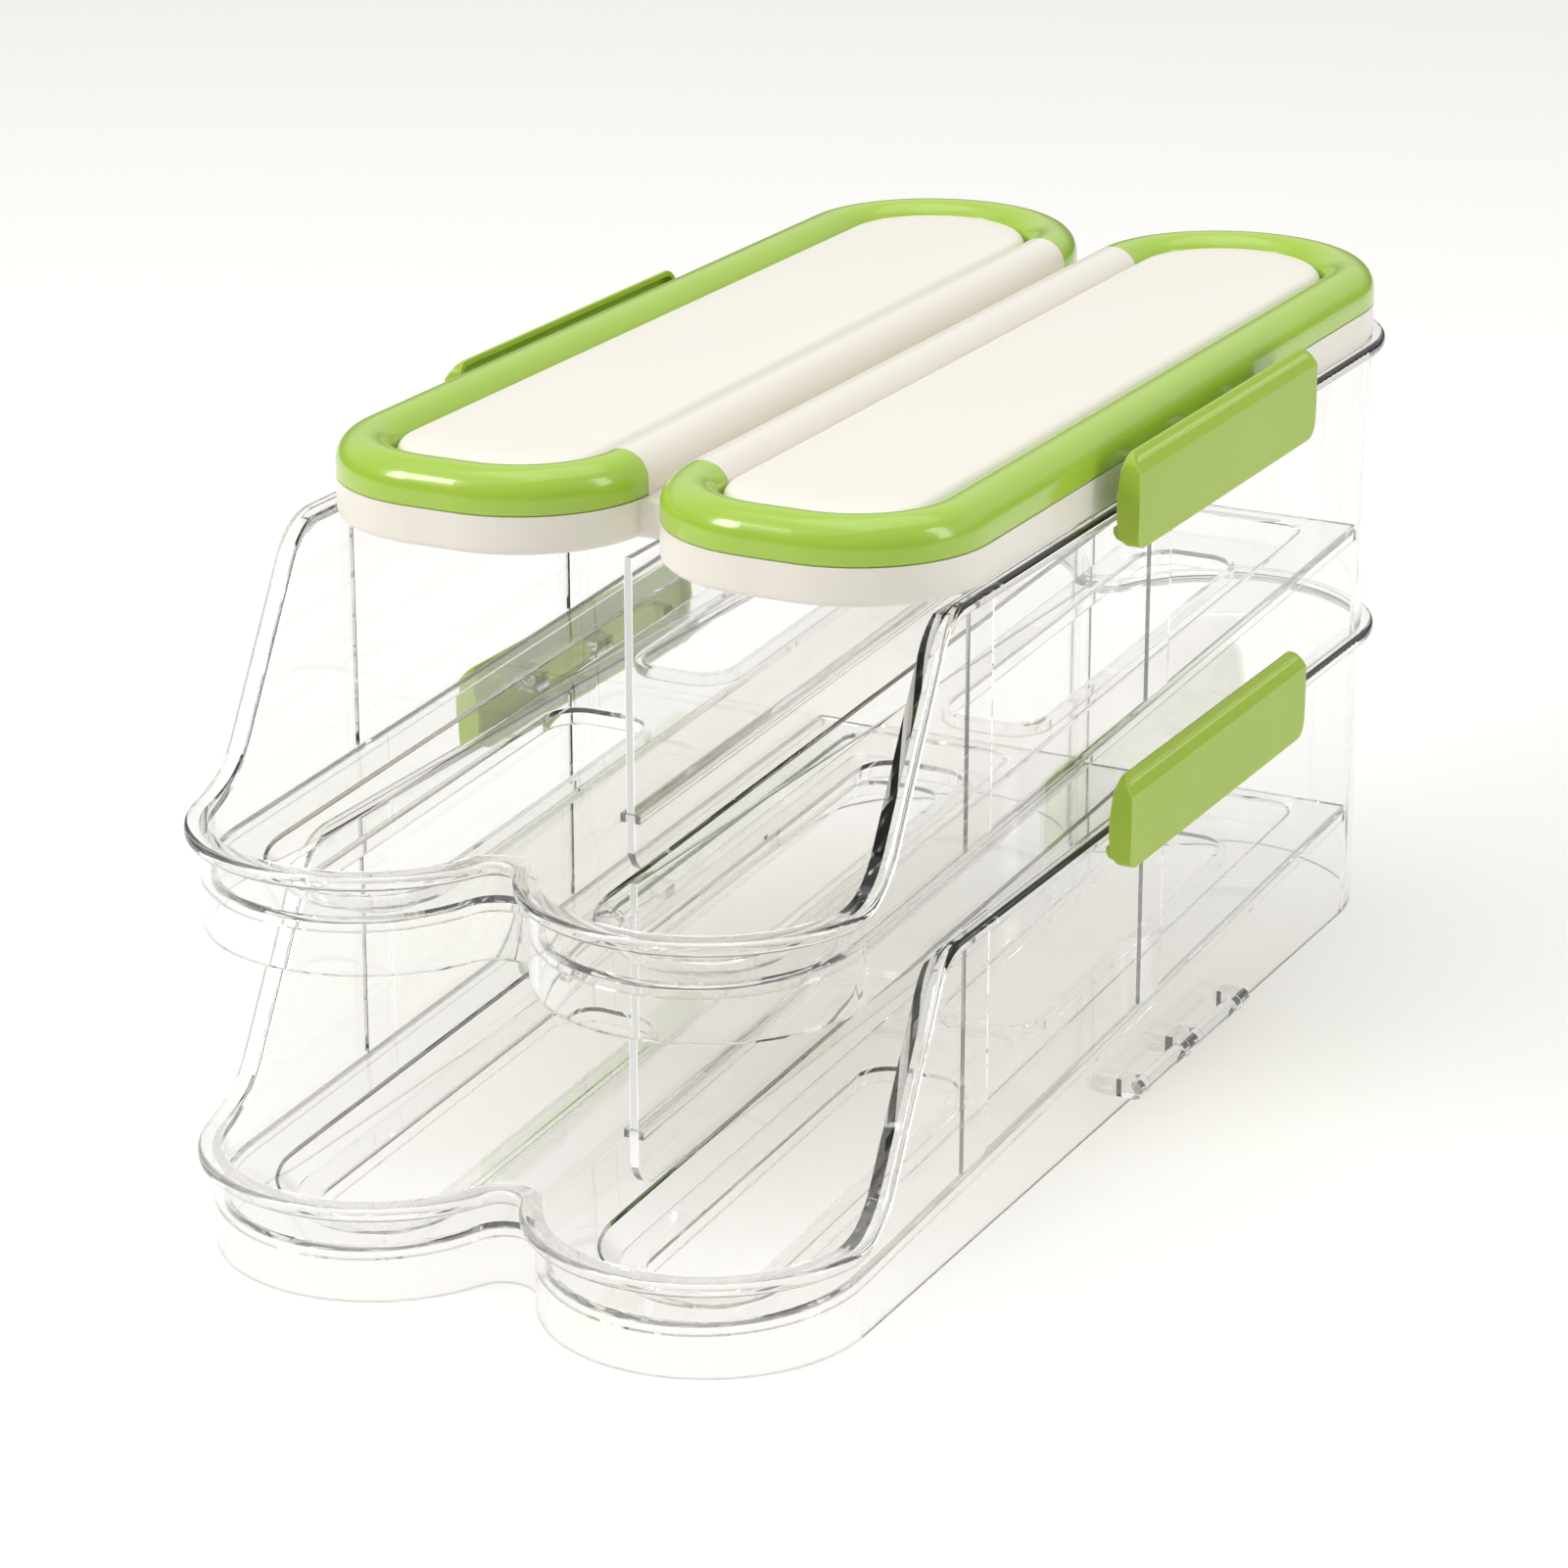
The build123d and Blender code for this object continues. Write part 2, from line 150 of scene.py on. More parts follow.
def makeSky():
    world = bpy.data.worlds.new("studioSky")
    world.use_nodes = True
    bpy.context.scene.world = world
    tree = world.node_tree
    place = addNode(tree, "ShaderNodeTexCoord")
    split = addNode(tree, "ShaderNodeSeparateXYZ")
    height = addNode(tree, "ShaderNodeMapRange", {"From Min": -1.0})
    turn = addNode(tree, "ShaderNodeMapRange", {
        "From Min": -studio["skyTurn"], "From Max": studio["skyTurn"]})
    around = addNode(tree, "ShaderNodeMixRGB")
    rays = addNode(tree, "ShaderNodeLightPath")
    seen = addNode(tree, "ShaderNodeMixRGB", {"Color2": studio["skySeen"]})
    background = tree.nodes["Background"]
    background.inputs["Strength"].default_value = studio["skyStrength"]
    link(tree, (place.outputs["Generated"], split.inputs["Vector"]),
         (split.outputs["Z"], height.inputs["Value"]),
         (split.outputs["Y"], turn.inputs["Value"]),
         (turn.outputs["Result"], around.inputs["Fac"]),
         (makeSkyRamp(tree, height.outputs["Result"], studio["skyFront"]), around.inputs["Color1"]),
         (makeSkyRamp(tree, height.outputs["Result"], studio["skyBehind"]), around.inputs["Color2"]),
         (rays.outputs["Is Camera Ray"], seen.inputs["Fac"]),
         (around.outputs["Color"], seen.inputs["Color1"]),
         (seen.outputs["Color"], background.inputs["Color"]))


def makeLamps():
    for name, place, target, width, height, watts, color in studio["lamps"]:
        bpy.ops.object.light_add(type="AREA", location=place)
        lamp = bpy.context.object
        lamp.name = name
        lamp.data.shape = "RECTANGLE"
        lamp.data.size = width
        lamp.data.size_y = height
        lamp.data.energy = watts
        lamp.data.color = color
        aim(lamp, place, target)
    bpy.ops.object.light_add(type="SUN", rotation=studio["sunTilt"])
    sun = bpy.context.object
    sun.name = "evenLight"
    sun.data.energy = studio["sunStrength"]
    sun.data.angle = studio["sunSoftness"]


def makeCamera():
    bpy.ops.object.camera_add(location=studio["cameraPlace"])
    camera = bpy.context.object
    camera.name = "photoCamera"
    camera.data.lens = studio["lens"]
    camera.data.sensor_width = studio["sensor"]
    camera.data.clip_end = studio["sight"]
    aim(camera, studio["cameraPlace"], studio["cameraLooksAt"])
    bpy.context.scene.camera = camera


makeTable()
makeSky()
makeLamps()
makeCamera()
bpy.context.scene.view_settings.view_transform = "Standard"
for kind in ("max_bounces", "transmission_bounces", "glossy_bounces", "transparent_max_bounces"):
    setattr(bpy.context.scene.cycles, kind, studio["bounces"])
print("studio ready")


# Shared effects, each a node group

effects = {
    "peelScale": 700.0,
    "scratchTurn": (0.3, 0.2, 0.6), "scratchStretch": (1.0, 0.12, 1.0), "noiseMiddle": 0.5,
    "patchScale": 45.0, "patchFrom": 0.6,
    "edgeRadius": 0.0007, "edgeSamples": 4,
}


def makeGroup(name, inputs, output):
    group = bpy.data.node_groups.new(name, "ShaderNodeTree")
    for label, kind in inputs:
        group.interface.new_socket(label, in_out="INPUT", socket_type="NodeSocket" + kind)
    group.interface.new_socket(output, in_out="OUTPUT", socket_type="NodeSocketFloat")
    return group, addNode(group, "NodeGroupInput"), addNode(group, "NodeGroupOutput")


def makeFlowGroup():
    group, entry, leave = makeGroup("mouldFlow", [
        ("Place", "Vector"), ("Scale", "Float"), ("Peel", "Float")], "Height")
    wave = addNode(group, "ShaderNodeTexNoise", {"Detail": 1.0})  # slow sink and flow of the moulding
    skin = addNode(group, "ShaderNodeTexNoise", {"Detail": 0.0, "Scale": effects["peelScale"]})  # orange peel
    both = addNode(group, "ShaderNodeMath", operation="MULTIPLY_ADD")
    link(group, (entry.outputs["Place"], wave.inputs["Vector"]),
         (entry.outputs["Place"], skin.inputs["Vector"]),
         (entry.outputs["Scale"], wave.inputs["Scale"]),
         (skin.outputs["Fac"], both.inputs[0]),
         (entry.outputs["Peel"], both.inputs[1]),
         (wave.outputs["Fac"], both.inputs[2]),
         (both.outputs[0], leave.inputs["Height"]))
    return group


def makeScratchGroup():
    group, entry, leave = makeGroup("hairScratches", [
        ("Place", "Vector"), ("Scale", "Float"), ("Width", "Float")], "Mask")
    turn = addNode(group, "ShaderNodeMapping", {
        "Rotation": effects["scratchTurn"], "Scale": effects["scratchStretch"]})
    line = addNode(group, "ShaderNodeTexNoise", {"Detail": 0.0})
    offset = addNode(group, "ShaderNodeMath", {1: effects["noiseMiddle"]}, operation="SUBTRACT")
    size = addNode(group, "ShaderNodeMath", operation="ABSOLUTE")
    thin = addNode(group, "ShaderNodeMath", operation="LESS_THAN")
    patch = addNode(group, "ShaderNodeTexNoise", {"Scale": effects["patchScale"], "Detail": 0.0})
    some = addNode(group, "ShaderNodeMath", {1: effects["patchFrom"]}, operation="GREATER_THAN")
    both = addNode(group, "ShaderNodeMath", operation="MULTIPLY")
    link(group, (entry.outputs["Place"], turn.inputs["Vector"]),
         (turn.outputs["Vector"], line.inputs["Vector"]),
         (entry.outputs["Scale"], line.inputs["Scale"]),
         (line.outputs["Fac"], offset.inputs[0]),
         (offset.outputs[0], size.inputs[0]),
         (size.outputs[0], thin.inputs[0]),
         (entry.outputs["Width"], thin.inputs[1]),
         (entry.outputs["Place"], patch.inputs["Vector"]),
         (patch.outputs["Fac"], some.inputs[0]),
         (thin.outputs[0], both.inputs[0]),
         (some.outputs[0], both.inputs[1]),
         (both.outputs[0], leave.inputs["Mask"]))
    return group


# marks edges and creases, where the plastics turn lighter: a little edge wear and a painted highlight
def makeEdgeGroup():
    group, entry, leave = makeGroup("edgeWearAndHighlight", [("Gain", "Float")], "Mask")
    rounded = addNode(group, "ShaderNodeBevel", {
        "Radius": effects["edgeRadius"]}, samples=effects["edgeSamples"])
    shape = addNode(group, "ShaderNodeNewGeometry")
    alike = addNode(group, "ShaderNodeVectorMath", operation="DOT_PRODUCT")
    differ = addNode(group, "ShaderNodeMath", {0: 1.0}, operation="SUBTRACT")
    gain = addNode(group, "ShaderNodeMath", operation="MULTIPLY", use_clamp=True)
    link(group, (rounded.outputs["Normal"], alike.inputs[0]),
         (shape.outputs["Normal"], alike.inputs[1]),
         (alike.outputs["Value"], differ.inputs[1]),
         (differ.outputs[0], gain.inputs[0]),
         (entry.outputs["Gain"], gain.inputs[1]),
         (gain.outputs[0], leave.inputs["Mask"]))
    return group


def makeDustGroup():
    group, entry, leave = makeGroup("fineDust", [
        ("Place", "Vector"), ("Scale", "Float"), ("Size", "Float")], "Mask")
    cells = addNode(group, "ShaderNodeTexVoronoi")
    speck = addNode(group, "ShaderNodeMath", operation="LESS_THAN")
    shape = addNode(group, "ShaderNodeNewGeometry")
    split = addNode(group, "ShaderNodeSeparateXYZ")
    upward = addNode(group, "ShaderNodeMath", operation="MULTIPLY", use_clamp=True)
    link(group, (entry.outputs["Place"], cells.inputs["Vector"]),
         (entry.outputs["Scale"], cells.inputs["Scale"]),
         (cells.outputs["Distance"], speck.inputs[0]),
         (entry.outputs["Size"], speck.inputs[1]),
         (shape.outputs["Normal"], split.inputs[0]),
         (split.outputs["Z"], upward.inputs[0]),
         (speck.outputs[0], upward.inputs[1]),
         (upward.outputs[0], leave.inputs["Mask"]))
    return group


flowGroup = makeFlowGroup()
scratchGroup = makeScratchGroup()
edgeGroup = makeEdgeGroup()
dustGroup = makeDustGroup()


def useGroup(tree, group, place, **values):
    node = addNode(tree, "ShaderNodeGroup", values, node_tree=group)
    if place:
        link(tree, (place.outputs["Object"], node.inputs["Place"]))
    return node.outputs[0]


def mixColor(tree, factor, first, second):
    mix = addNode(tree, "ShaderNodeMixRGB")
    link(tree, (factor, mix.inputs["Fac"]))
    for socket, value in (("Color1", first), ("Color2", second)):
        if isinstance(value, tuple):
            mix.inputs[socket].default_value = value
        else:
            link(tree, (value, mix.inputs[socket]))
    return mix.outputs["Color"]


def scaled(tree, value, factor, plus=0.0):
    node = addNode(tree, "ShaderNodeMath", {1: factor, 2: plus}, operation="MULTIPLY_ADD")
    link(tree, (value, node.inputs[0]))
    return node.outputs[0]


def summed(tree, first, second):
    node = addNode(tree, "ShaderNodeMath", operation="ADD", use_clamp=True)
    link(tree, (first, node.inputs[0]), (second, node.inputs[1]))
    return node.outputs[0]


def bumped(tree, height, settings, shader):
    bump = addNode(tree, "ShaderNodeBump", {
        "Strength": settings["flowStrength"], "Distance": settings["flowDepth"]})
    link(tree, (height, bump.inputs["Height"]), (bump.outputs["Normal"], shader.inputs["Normal"]))


# Finishes

def clearPlastic(name, settings):
    material, tree, shader = newMaterial(name, {"IOR": settings["ior"], "Transmission Weight": 1.0})
    place = addNode(tree, "ShaderNodeTexCoord")
    flow = useGroup(tree, flowGroup, place, Scale=settings["flowScale"], Peel=0.0)
    scratches = useGroup(tree, scratchGroup, place,
                         Scale=settings["scratchScale"], Width=settings["scratchWidth"])
    bumped(tree, flow, settings, shader)
    link(tree, (mixColor(tree, flow, settings["color"], settings["colorThick"]), shader.inputs["Base Color"]))
    rough = scaled(tree, scratches, settings["scratchRoughness"])
    if "sawnEdge" in settings:  # this edge is rougher, and a painted glow on it stands in for the light the wall would carry out here
        edge = sawnEdge(tree, place, settings["sawnEdge"])
        rough = summed(tree, rough, scaled(tree, edge, settings["sawnRoughness"]))
        # painted glow: the edge emits light though it is no lamp
        paintedGlow = mixColor(tree, edge, (0.0, 0.0, 0.0, 1.0), settings["paintedEdgeGlow"])
        link(tree, (paintedGlow, shader.inputs["Emission Color"]))
        shader.inputs["Emission Strength"].default_value = 1.0
    rays = addNode(tree, "ShaderNodeLightPath")
    either = addNode(tree, "ShaderNodeMath", operation="MAXIMUM")
    openPane = addNode(tree, "ShaderNodeBsdfTransparent", {"Color": settings["shadowColor"]})
    choice = addNode(tree, "ShaderNodeMixShader")
    body = addNode(tree, "ShaderNodeVolumeAbsorption", {
        "Color": settings["depthColor"], "Density": settings["depthDensity"]})
    output = tree.nodes["Material Output"]
    link(tree, (rough, shader.inputs["Roughness"]),
         (rays.outputs["Is Shadow Ray"], either.inputs[0]),
         (rays.outputs["Is Diffuse Ray"], either.inputs[1]),
         (either.outputs[0], choice.inputs["Fac"]),
         (shader.outputs[0], choice.inputs[1]),
         (openPane.outputs[0], choice.inputs[2]),
         (choice.outputs[0], output.inputs["Surface"]),
         (body.outputs[0], output.inputs["Volume"]))
    return material


def sawnEdge(tree, place, edge):  # 1 on the divider's front edge, 0 elsewhere
    split = addNode(tree, "ShaderNodeSeparateXYZ")
    across = addNode(tree, "ShaderNodeMath", {1: 0.0, 2: edge["halfWidth"]}, operation="COMPARE")
    along = addNode(tree, "ShaderNodeMath", {1: edge["frontY"], 2: edge["reach"]}, operation="COMPARE")
    both = addNode(tree, "ShaderNodeMath", operation="MULTIPLY")
    link(tree, (place.outputs["Object"], split.inputs[0]),
         (split.outputs["X"], across.inputs[0]),
         (split.outputs["Y"], along.inputs[0]),
         (across.outputs[0], both.inputs[0]),
         (along.outputs[0], both.inputs[1]))
    return both.outputs[0]


def glossPlastic(name, settings):
    material, tree, shader = newMaterial(name, {
        "IOR": settings["ior"], "Coat Weight": settings["coat"], "Coat Roughness": settings["coatRoughness"]})
    place = addNode(tree, "ShaderNodeTexCoord")
    flow = useGroup(tree, flowGroup, place, Scale=settings["flowScale"], Peel=settings["peel"])
    scratches = useGroup(tree, scratchGroup, place,
                         Scale=settings["scratchScale"], Width=settings["scratchWidth"])
    edges = useGroup(tree, edgeGroup, None, Gain=settings["edgeGain"])
    dust = useGroup(tree, dustGroup, place, Scale=settings["dustScale"], Size=settings["dustSize"])
    tone = mixColor(tree, flow, settings["color"], settings["colorOther"])
    # lighter along edges: painted highlight, with a little wear
    tone = mixColor(tree, edges, tone, settings["colorEdgeWearAndHighlight"])
    tone = mixColor(tree, scaled(tree, dust, settings["dustShare"]), tone, settings["colorDust"])
    bumped(tree, flow, settings, shader)
    rough = scaled(tree, flow, settings["roughSpread"], settings["roughness"])
    rough = summed(tree, rough, scaled(tree, scratches, settings["scratchRoughness"]))
    link(tree, (tone, shader.inputs["Base Color"]), (rough, shader.inputs["Roughness"]))
    return material


sharedClear = {
    "ior": 1.5, "flowDepth": 0.0006, "scratchWidth": 0.002,
    "shadowColor": (0.99, 0.989, 0.986, 1.0),
    "depthColor": (0.0, 0.0, 0.0, 1.0), "depthDensity": 8.0,  # long ways inside the plastic turn grey
}
sharedGloss = {
    "flowDepth": 0.0006, "scratchWidth": 0.002, "scratchRoughness": 0.15, "dustShare": 0.35,
}
finishes = {
    "clearTray": clearPlastic("clearTray", {
        **sharedClear, "color": (0.998, 0.998, 0.997, 1.0), "colorThick": (0.993, 0.992, 0.989, 1.0),
        "flowScale": 18.0, "flowStrength": 0.14, "scratchScale": 340.0, "scratchRoughness": 0.10,
        "sawnEdge": {"halfWidth": 0.0012, "frontY": -0.098, "reach": 0.0003},
        # the sawn edge's glow colour is painted light, an emission standing in for light piped along the wall
        "sawnRoughness": 0.25, "paintedEdgeGlow": (0.56, 0.555, 0.54, 1.0)}),
    "clearRamp": clearPlastic("clearRamp", {
        **sharedClear, "color": (0.998, 0.997, 0.996, 1.0), "colorThick": (0.992, 0.99, 0.986, 1.0),
        "flowScale": 14.0, "flowStrength": 0.16, "scratchScale": 320.0, "scratchRoughness": 0.12}),
    "greenRing": glossPlastic("greenRing", {
        **sharedGloss, "color": (0.365, 0.56, 0.055, 1.0), "colorOther": (0.345, 0.535, 0.048, 1.0),
        "colorEdgeWearAndHighlight": (0.50, 0.68, 0.13, 1.0), "colorDust": (0.55, 0.66, 0.35, 1.0),
        "roughness": 0.17, "roughSpread": 0.10, "ior": 1.48, "coat": 0.4, "coatRoughness": 0.04,
        "flowScale": 22.0, "peel": 0.05, "flowStrength": 0.10, "edgeGain": 1.5,
        "scratchScale": 420.0, "dustScale": 900.0, "dustSize": 0.05}),
    "greenClip": glossPlastic("greenClip", {
        **sharedGloss, "color": (0.335, 0.49, 0.038, 1.0), "colorOther": (0.315, 0.465, 0.034, 1.0),
        "colorEdgeWearAndHighlight": (0.56, 0.70, 0.20, 1.0), "colorDust": (0.55, 0.66, 0.35, 1.0),
        "roughness": 0.30, "roughSpread": 0.12, "ior": 1.42, "coat": 0.06, "coatRoughness": 0.05,
        "flowScale": 30.0, "peel": 0.06, "flowStrength": 0.10, "edgeGain": 2.0,
        "scratchScale": 420.0, "dustScale": 900.0, "dustSize": 0.05}),
    "creamLid": glossPlastic("creamLid", {
        **sharedGloss, "color": (0.80, 0.765, 0.69, 1.0), "colorOther": (0.785, 0.745, 0.665, 1.0),
        "colorEdgeWearAndHighlight": (0.88, 0.86, 0.80, 1.0), "colorDust": (0.70, 0.67, 0.60, 1.0),
        "roughness": 0.26, "roughSpread": 0.12, "ior": 1.47, "coat": 0.2, "coatRoughness": 0.06,
        "flowScale": 20.0, "peel": 0.06, "flowStrength": 0.10, "edgeGain": 1.0,
        "scratchScale": 380.0, "dustScale": 700.0, "dustSize": 0.05}),
    "creamPad": glossPlastic("creamPad", {
        **sharedGloss, "color": (0.80, 0.775, 0.715, 1.0), "colorOther": (0.78, 0.75, 0.68, 1.0),
        "colorEdgeWearAndHighlight": (0.90, 0.88, 0.83, 1.0), "colorDust": (0.72, 0.69, 0.62, 1.0),
        "roughness": 0.36, "roughSpread": 0.16, "ior": 1.45, "coat": 0.1, "coatRoughness": 0.12,
        "flowScale": 16.0, "peel": 0.12, "flowStrength": 0.14, "edgeGain": 1.0,
        "scratchScale": 380.0, "dustScale": 700.0, "dustSize": 0.055}),
}
print("finishes ready:", len(finishes))


def dress(piece, finish):
    piece.data.materials.clear()
    piece.data.materials.append(finishes[finish])


for tier in ("lower", "upper"):
    dress(nodes[tier + "_tray"], "clearTray")
    dress(nodes[tier + "_ramp"], "clearRamp")
dress(nodes["lid_base"], "creamLid")
for side in ("left", "right"):
    dress(nodes["lid_ring_" + side], "greenRing")
print("trays, ramps and lid dressed")


# Modelling helpers

def choose(piece):
    bpy.ops.object.select_all(action="DESELECT")
    piece.select_set(True)
    bpy.context.view_layer.objects.active = piece


def copied(first, name):
    piece = first.copy()
    piece.data = first.data.copy()
    bpy.context.collection.objects.link(piece)
    piece.name = name
    choose(piece)
    return piece


def startBlock(name, low, high):  # a block between two corners, to be shaped
    bpy.ops.object.select_all(action="DESELECT")
    middle = [(a + b) / 2 for a, b in zip(low, high)]
    bpy.ops.mesh.primitive_cube_add(size=1.0, location=middle)
    piece = bpy.context.object
    piece.name = name
    piece.scale = [b - a for a, b in zip(low, high)]
    bpy.ops.object.transform_apply(location=True, rotation=True, scale=True)
    return piece


def pick(piece, kind, test):  # test gets the point, the edge's two ends, or the face's middle and normal
    bpy.ops.object.mode_set(mode="EDIT")
    bpy.ops.mesh.select_mode(type=kind)
    bpy.ops.mesh.select_all(action="DESELECT")
    bpy.ops.object.mode_set(mode="OBJECT")
    mesh = piece.data
    points = mesh.vertices
    if kind == "VERT":
        for point in points:
            point.select = test(point.co)
    elif kind == "EDGE":
        for edge in mesh.edges:
            edge.select = test(points[edge.vertices[0]].co, points[edge.vertices[1]].co)
    else:
        for face in mesh.polygons:
            face.select = test(face.center, face.normal)
    bpy.ops.object.mode_set(mode="EDIT")


def cutAt(place, normal):
    bpy.ops.object.mode_set(mode="EDIT")
    bpy.ops.mesh.select_all(action="SELECT")
    bpy.ops.mesh.bisect(plane_co=place, plane_no=normal)
    bpy.ops.object.mode_set(mode="OBJECT")


def turnOutward():
    bpy.ops.object.mode_set(mode="EDIT")
    bpy.ops.mesh.select_all(action="SELECT")
    bpy.ops.mesh.normals_make_consistent(inside=False)
    bpy.ops.object.mode_set(mode="OBJECT")


def near(value, wanted, slack=0.00002):
    return abs(value - wanted) < slack


def useModifier(piece, kind, **settings):
    bpy.context.view_layer.objects.active = piece
    modifier = piece.modifiers.new(kind.lower(), kind)
    for key, value in settings.items():
        setattr(modifier, key, value)
    bpy.ops.object.modifier_apply(modifier=modifier.name)


def bevelEdges(piece, width, steps, degrees):
    useModifier(piece, "BEVEL", width=width, segments=steps,
                limit_method="ANGLE", angle_limit=math.radians(degrees))


def smooth(piece, degrees):
    choose(piece)
    bpy.ops.object.shade_smooth_by_angle(angle=math.radians(degrees))


def joined(name, pieces):
    bpy.ops.object.select_all(action="DESELECT")
    for piece in pieces:
        piece.select_set(True)
    bpy.context.view_layer.objects.active = pieces[0]
    bpy.ops.object.join()
    pieces[0].name = name
    return pieces[0]


# Clips: a bowed cover, hollow behind, with two sleeves for the bar and a hook below

clip = {
    "pivot": (0.082, 0.027, 0.1565), "cadTop": 0.1659,  # of the lid's right clip, the first one made
    "length": 0.106, "back": 0.0006, "face": 0.0062, "bottom": -0.0130, "top": 0.0088,
    "faceBow": [  # height above the pivot, and how far the side draws in there
        (-0.0130, 0.00025), (-0.0060, 0.0), (0.0047, 0.00005),
        (0.0064, 0.0012), (0.0080, 0.0023), (0.0088, 0.0031)],
    "rearBow": [
        (-0.0130, 0.0020), (-0.0105, 0.0008), (-0.0060, 0.0),
        (-0.0010, 0.0), (0.0047, 0.0008), (0.0088, 0.0018)],
    "cornerRound": 0.0038, "cornerSteps": 8,
    "rearFacing": -0.6, "skin": 0.0013, "hollow": 0.0026,
    "coverRound": (0.00045, 3, 28), "coverSmooth": 25,  # width, steps and least angle in degrees
    "hookStart": (0.0046, -0.004), "hookRoot": 0.002, "hookEndGap": 0.004,
    "hookPath": [  # steps out and up
        (0.0, -0.0055), (-0.00025, -0.0011), (-0.00095, -0.0009), (-0.0013, -0.0003),
        (-0.0018, 0.0), (-0.0009, 0.00035), (-0.0005, 0.00085), (0.0, 0.0012)],
    "hookWall": 0.0016, "hookRound": (0.0004, 3, 50), "hookSmooth": 40,
    "sleeveRadius": 0.0031, "sleeveHole": 0.0023, "sleeveLength": 0.0225, "sleevePlace": 0.0160,
    "sleeveSides": 40, "sleeveEnd": 0.99, "sleeveRound": (0.00025, 2, 50), "sleeveSmooth": 35,
    "ribFrom": 0.0024, "ribTo": 0.0046, "ribHalf": 0.0022, "ribShort": 0.0005,
    "ribRound": 0.0003, "ribSteps": 2,
}


def drawnIn(bow, height):  # how far a bowed side draws in at a height above the pivot
    for (low, pulledLow), (high, pulledHigh) in zip(bow, bow[1:]):
        if height <= high:
            share = (height - low) / (high - low)
            return pulledLow + (pulledHigh - pulledLow) * max(share, 0.0)
    return bow[-1][1]


def makeCover():
    x, y, z = clip["pivot"]
    half = clip["length"] / 2
    cover = startBlock("clipCover", (x + clip["back"], y - half, z + clip["bottom"]),
                       (x + clip["face"], y + half, z + clip["top"]))
    pick(cover, "EDGE", lambda a, b: near(a.y, b.y) and near(a.z, b.z))
    bpy.ops.mesh.bevel(offset=clip["cornerRound"], segments=clip["cornerSteps"])
    for height in sorted({height for bow in ("faceBow", "rearBow") for height, pulled in clip[bow][1:-1]}):
        cutAt((0, 0, z + height), (0, 0, 1))
    heights = sorted({round(point.co.z, 6) for point in cover.data.vertices})
    for edge, bow, way in ((x + clip["face"], clip["faceBow"], -1), (x + clip["back"], clip["rearBow"], 1)):
        for height in heights:
            pick(cover, "VERT", lambda p: near(p.x, edge) and near(p.z, height, 0.000001))
            bpy.ops.transform.translate(value=(way * drawnIn(bow, height - z), 0, 0))
    bpy.ops.object.mode_set(mode="OBJECT")
    pick(cover, "FACE", lambda c, n: n.x < clip["rearFacing"])
    bpy.ops.mesh.inset(thickness=clip["skin"], use_boundary=True)
    bpy.ops.mesh.extrude_region_move(TRANSFORM_OT_translate={"value": (clip["hollow"], 0, 0)})
    turnOutward()
    bevelEdges(cover, *clip["coverRound"])
    smooth(cover, clip["coverSmooth"])
    useModifier(cover, "WEIGHTED_NORMAL", keep_sharp=True)
    return cover


def makeHook():
    x, y, z = clip["pivot"]
    startX, startZ = clip["hookStart"]
    place = (x + startX, y, z + startZ + clip["hookRoot"] / 2)
    bpy.ops.object.select_all(action="DESELECT")
    bpy.ops.mesh.primitive_plane_add(size=1.0, location=place, rotation=(0, math.radians(90), 0))
    hook = bpy.context.object
    hook.name = "clipHook"
    hook.scale = (clip["hookRoot"], clip["length"] - 2 * clip["hookEndGap"], 1.0)
    bpy.ops.object.transform_apply(location=True, rotation=True, scale=True)
    lowest = min(point.co.z for point in hook.data.vertices)
    pick(hook, "EDGE", lambda a, b: near(a.z, lowest) and near(b.z, lowest))
    for stepX, stepZ in clip["hookPath"]:
        bpy.ops.mesh.extrude_region_move(TRANSFORM_OT_translate={"value": (stepX, 0, stepZ)})
    turnOutward()
    useModifier(hook, "SOLIDIFY", thickness=clip["hookWall"], offset=0.0)
    bevelEdges(hook, *clip["hookRound"])
    smooth(hook, clip["hookSmooth"])
    return hook


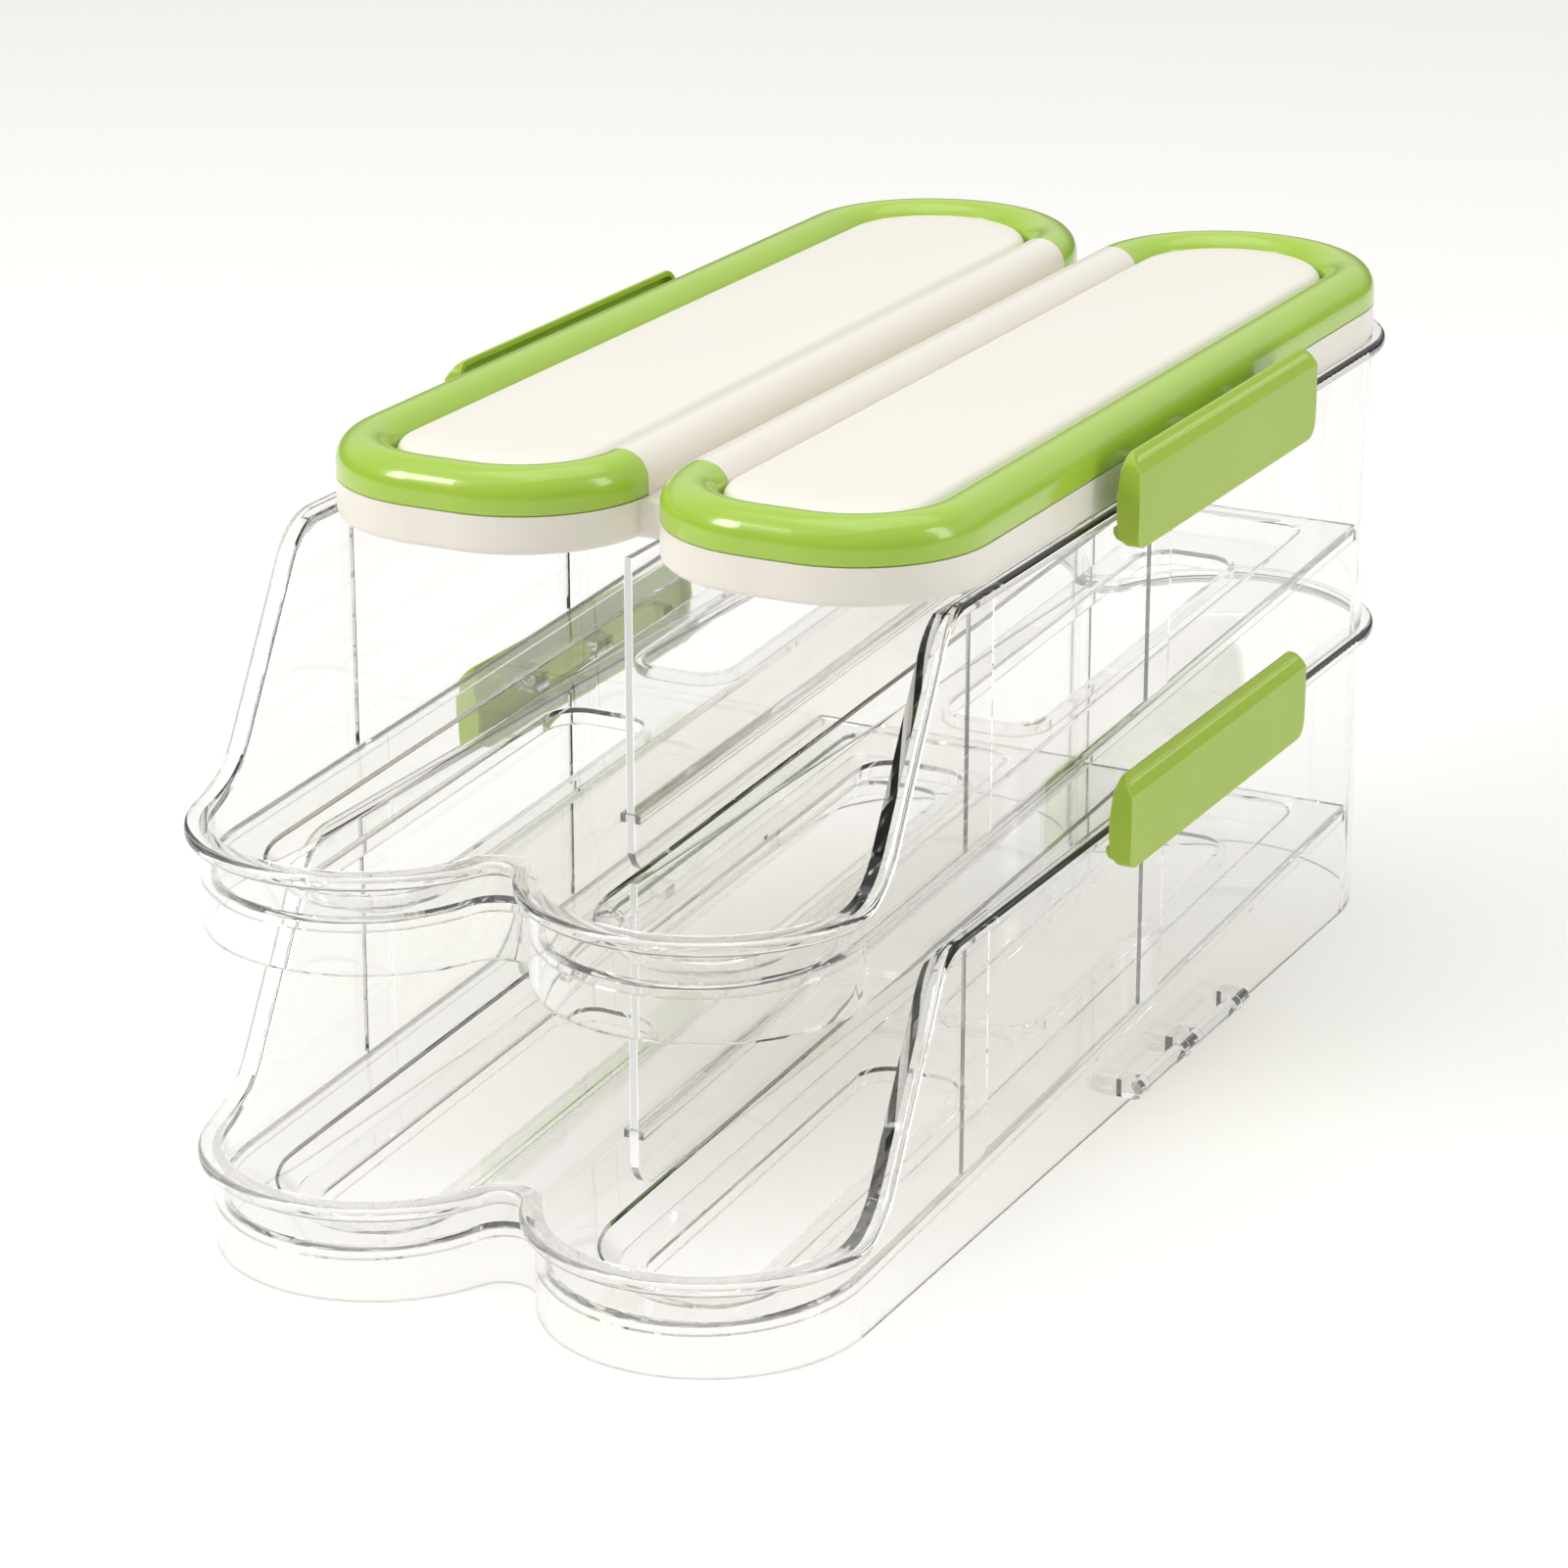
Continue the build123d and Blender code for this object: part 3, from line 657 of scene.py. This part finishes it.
def makeSleeve(along):
    x, y, z = clip["pivot"]
    half = clip["sleeveLength"] / 2
    bpy.ops.object.select_all(action="DESELECT")
    bpy.ops.mesh.primitive_cylinder_add(
        vertices=clip["sleeveSides"], radius=clip["sleeveRadius"], depth=clip["sleeveLength"],
        end_fill_type="NGON", location=(x, y + along, z), rotation=(math.radians(90), 0, 0))
    sleeve = bpy.context.object
    bpy.ops.object.transform_apply(location=True, rotation=True, scale=True)
    pick(sleeve, "FACE", lambda c, n: abs(n.y) > clip["sleeveEnd"])
    bpy.ops.mesh.inset(thickness=clip["sleeveRadius"] - clip["sleeveHole"], use_individual=True)
    bpy.ops.mesh.bridge_edge_loops()
    turnOutward()
    rib = startBlock("sleeveRib", (x + clip["ribFrom"], y + along - half + clip["ribShort"], z - clip["ribHalf"]),
                     (x + clip["ribTo"], y + along + half - clip["ribShort"], z + clip["ribHalf"]))
    useModifier(rib, "BEVEL", width=clip["ribRound"], segments=clip["ribSteps"])
    bevelEdges(sleeve, *clip["sleeveRound"])
    sleeve = joined("clipSleeve", [sleeve, rib])
    smooth(sleeve, clip["sleeveSmooth"])
    return sleeve


def placeClip(first, owner, side):
    node = owner + "_clip_" + side
    low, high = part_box(node)
    flip = -1.0 if high[0] < 0 else 1.0
    piece = copied(first, node + "_moulded")
    piece.location = (0, 0, high[2] - clip["cadTop"])
    piece.scale = (flip, 1, 1)
    bpy.ops.object.transform_apply(location=True, rotation=True, scale=True)
    if flip < 0:
        turnOutward()
    dress(piece, "greenClip")
    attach(piece, "clip_" + owner + "_" + side)
    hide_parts(node)


firstClip = joined("clipMaster", [
    makeCover(), makeHook(), makeSleeve(-clip["sleevePlace"]), makeSleeve(clip["sleevePlace"])])
for owner in ("lid", "tray"):
    for side in ("left", "right"):
        placeClip(firstClip, owner, side)
bpy.data.objects.remove(firstClip)
print("clips modelled")


# Pads: the lid's long cream panels, crowned a little from every edge

pad = {
    "crown": [(0.0014, 0.00030), (0.0022, 0.00024), (0.0028, 0.00012)],  # inset, rise
    "mergeWithin": 0.00001, "upFacing": 0.999, "smooth": 35,
}


def makePad(side):
    node = "lid_pad_" + side
    piece = copied(nodes[node], node + "_crowned")
    piece.parent = None
    del piece["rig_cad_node"]  # it stands for the node and isn't the node itself
    bpy.ops.mesh.customdata_custom_splitnormals_clear()
    bpy.ops.object.mode_set(mode="EDIT")
    bpy.ops.mesh.select_all(action="SELECT")
    bpy.ops.mesh.remove_doubles(threshold=pad["mergeWithin"])
    bpy.ops.object.mode_set(mode="OBJECT")
    highest = max(point.co.z for point in piece.data.vertices)
    pick(piece, "FACE", lambda c, n: n.z > pad["upFacing"] and near(c.z, highest))
    bpy.ops.mesh.dissolve_faces()
    for inward, rise in pad["crown"]:
        bpy.ops.mesh.inset(thickness=inward, use_boundary=True)
        bpy.ops.transform.translate(value=(0, 0, rise))
    bpy.ops.mesh.quads_convert_to_tris()
    bpy.ops.object.mode_set(mode="OBJECT")
    smooth(piece, pad["smooth"])
    dress(piece, "creamPad")
    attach(piece, "lid")
    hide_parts(node)


for side in ("left", "right"):
    makePad(side)
print("pads crowned")
